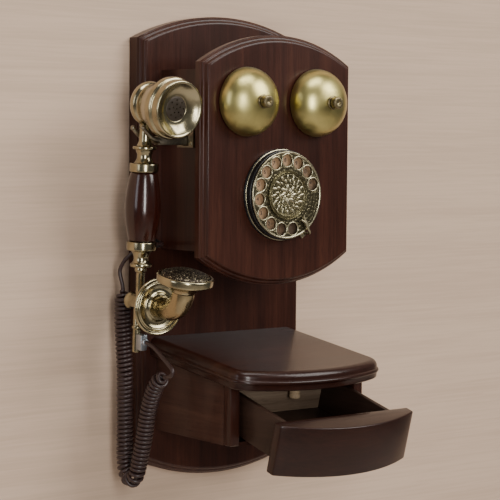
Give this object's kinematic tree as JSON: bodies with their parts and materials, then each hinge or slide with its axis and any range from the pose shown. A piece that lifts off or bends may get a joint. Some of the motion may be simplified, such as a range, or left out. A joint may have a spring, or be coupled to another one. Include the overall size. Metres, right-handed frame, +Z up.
{
  "type": "wooden wall telephone",
  "caption": "Antique-style wooden wall telephone with front bells, rotary dial, side-hung brass and wood handset on a curly cord, and a sloped shelf over a drawer.",
  "frame": {"origin": "on the wall plane, midway between the two hanger holes", "axes": "+Z is up, +Y points into the wall, +X is to the right seen from the front"},
  "size_m": [0.2333, 0.2187, 0.4248],
  "materials": {
    "dark_wood": "lacquered, dark reddish brown with a straight grain",
    "drawer_wood": "plain lacquer, lighter than the outside",
    "pale_wood": "bare turned peg",
    "handle_wood": "polished, reddish",
    "bell_brass": "satin antique brass",
    "dial_brass": "antique brass, dark in the recesses",
    "handset_metal": "die-cast alloy with a polished antique brass plate",
    "black_plastic": "black",
    "number_enamel": "brown enamel",
    "ivory_plastic": "ivory",
    "circuit": "green board",
    "clip_zinc": "bare grey metal",
    "steel": "plain steel",
    "coil_copper": "copper winding under lacquer",
    "cord_rubber": "dark brown smooth sheath"
  },
  "bodies": {
    "phone": {"backboard": "dark_wood", "hanger_plate_left": "steel", "hanger_plate_right": "steel", "box_side_left": "dark_wood", "box_side_right": "dark_wood", "box_top_board": "dark_wood", "box_bottom_board": "dark_wood", "front_panel": "dark_wood", "shelf": "dark_wood", "cabinet_side_left": "dark_wood", "cabinet_side_right": "dark_wood", "cabinet_bottom": "dark_wood", "stile_left": "dark_wood", "stile_right": "dark_wood", "stop_peg": "pale_wood", "bell_left": "bell_brass", "bell_right": "bell_brass", "bell_post_left": "steel", "bell_post_right": "steel", "bell_nut_left": "bell_brass", "bell_nut_right": "bell_brass", "dial_base": "black_plastic", "number_plate": "number_enamel", "finger_stop": "dial_brass", "dial_case": "steel", "ringer_frame": "steel", "ringer_coil_left": "coil_copper", "ringer_coil_right": "coil_copper", "circuit_board": "circuit", "hook_plate": "dial_brass", "hook_bracket": "steel", "hook_pin": "steel", "hook_switch": "black_plastic", "cord_jack": "black_plastic", "line_jack": "ivory_plastic", "cord_lead_jack": "cord_rubber", "cord_coil": "cord_rubber", "cord_lead_clip": "cord_rubber"},
    "drawer": {"drawer_front": "dark_wood", "drawer_side_left": "drawer_wood", "drawer_side_right": "drawer_wood", "drawer_back": "drawer_wood", "drawer_bottom": "drawer_wood"},
    "dial": {"finger_wheel": "dial_brass", "dial_medallion": "dial_brass", "dial_shaft": "steel"},
    "ringer_striker": {"striker": "dial_brass"},
    "hook": {"hook_lever": "dial_brass"},
    "handset": {"receiver_body": "handset_metal", "ear_cap": "handset_metal", "speaker_capsule": "black_plastic", "neck_upper": "handset_metal", "handle": "handle_wood", "neck_lower": "handset_metal", "rosette": "handset_metal", "horn": "handset_metal", "mouth_cup": "handset_metal", "mouth_grille": "handset_metal", "cord_clip": "clip_zinc"}
  },
  "joints": [
    {"name": "drawer_slide_and_tip", "type": "hinge", "parent": "phone", "child": "drawer", "pos_m": [0, -0.1036, -0.4973], "axis": [1, 0, 0], "range_deg": [-14.8, 0]},
    {"name": "dial_turn", "type": "hinge", "parent": "phone", "child": "dial", "pos_m": [0, -0.1142, -0.0866], "axis": [0, 1, 0], "range_deg": [0, 330], "stiffness_Nm_per_rad": 0.01, "springref_deg": -34.38},
    {"name": "striker_swing", "type": "hinge", "parent": "phone", "child": "ringer_striker", "pos_m": [0, -0.084, -0.05], "axis": [0, 1, 0], "range_deg": [-2.7, 2.7], "stiffness_Nm_per_rad": 0.06},
    {"name": "handset_lift", "type": "slide", "parent": "phone", "child": "handset", "axis": [-0.7547, 0, 0.6561], "range_m": [0, 0.04]},
    {"name": "hook_rise", "type": "hinge", "parent": "phone", "child": "hook", "pos_m": [-0.052, -0.0583, -0.039], "axis": [0, 1, 0], "range_deg": [0, 8.1]}
  ],
  "couplings": [
    {"joint": "hook_rise", "follows": "handset_lift", "rad_per_m": 3.49}
  ]
}
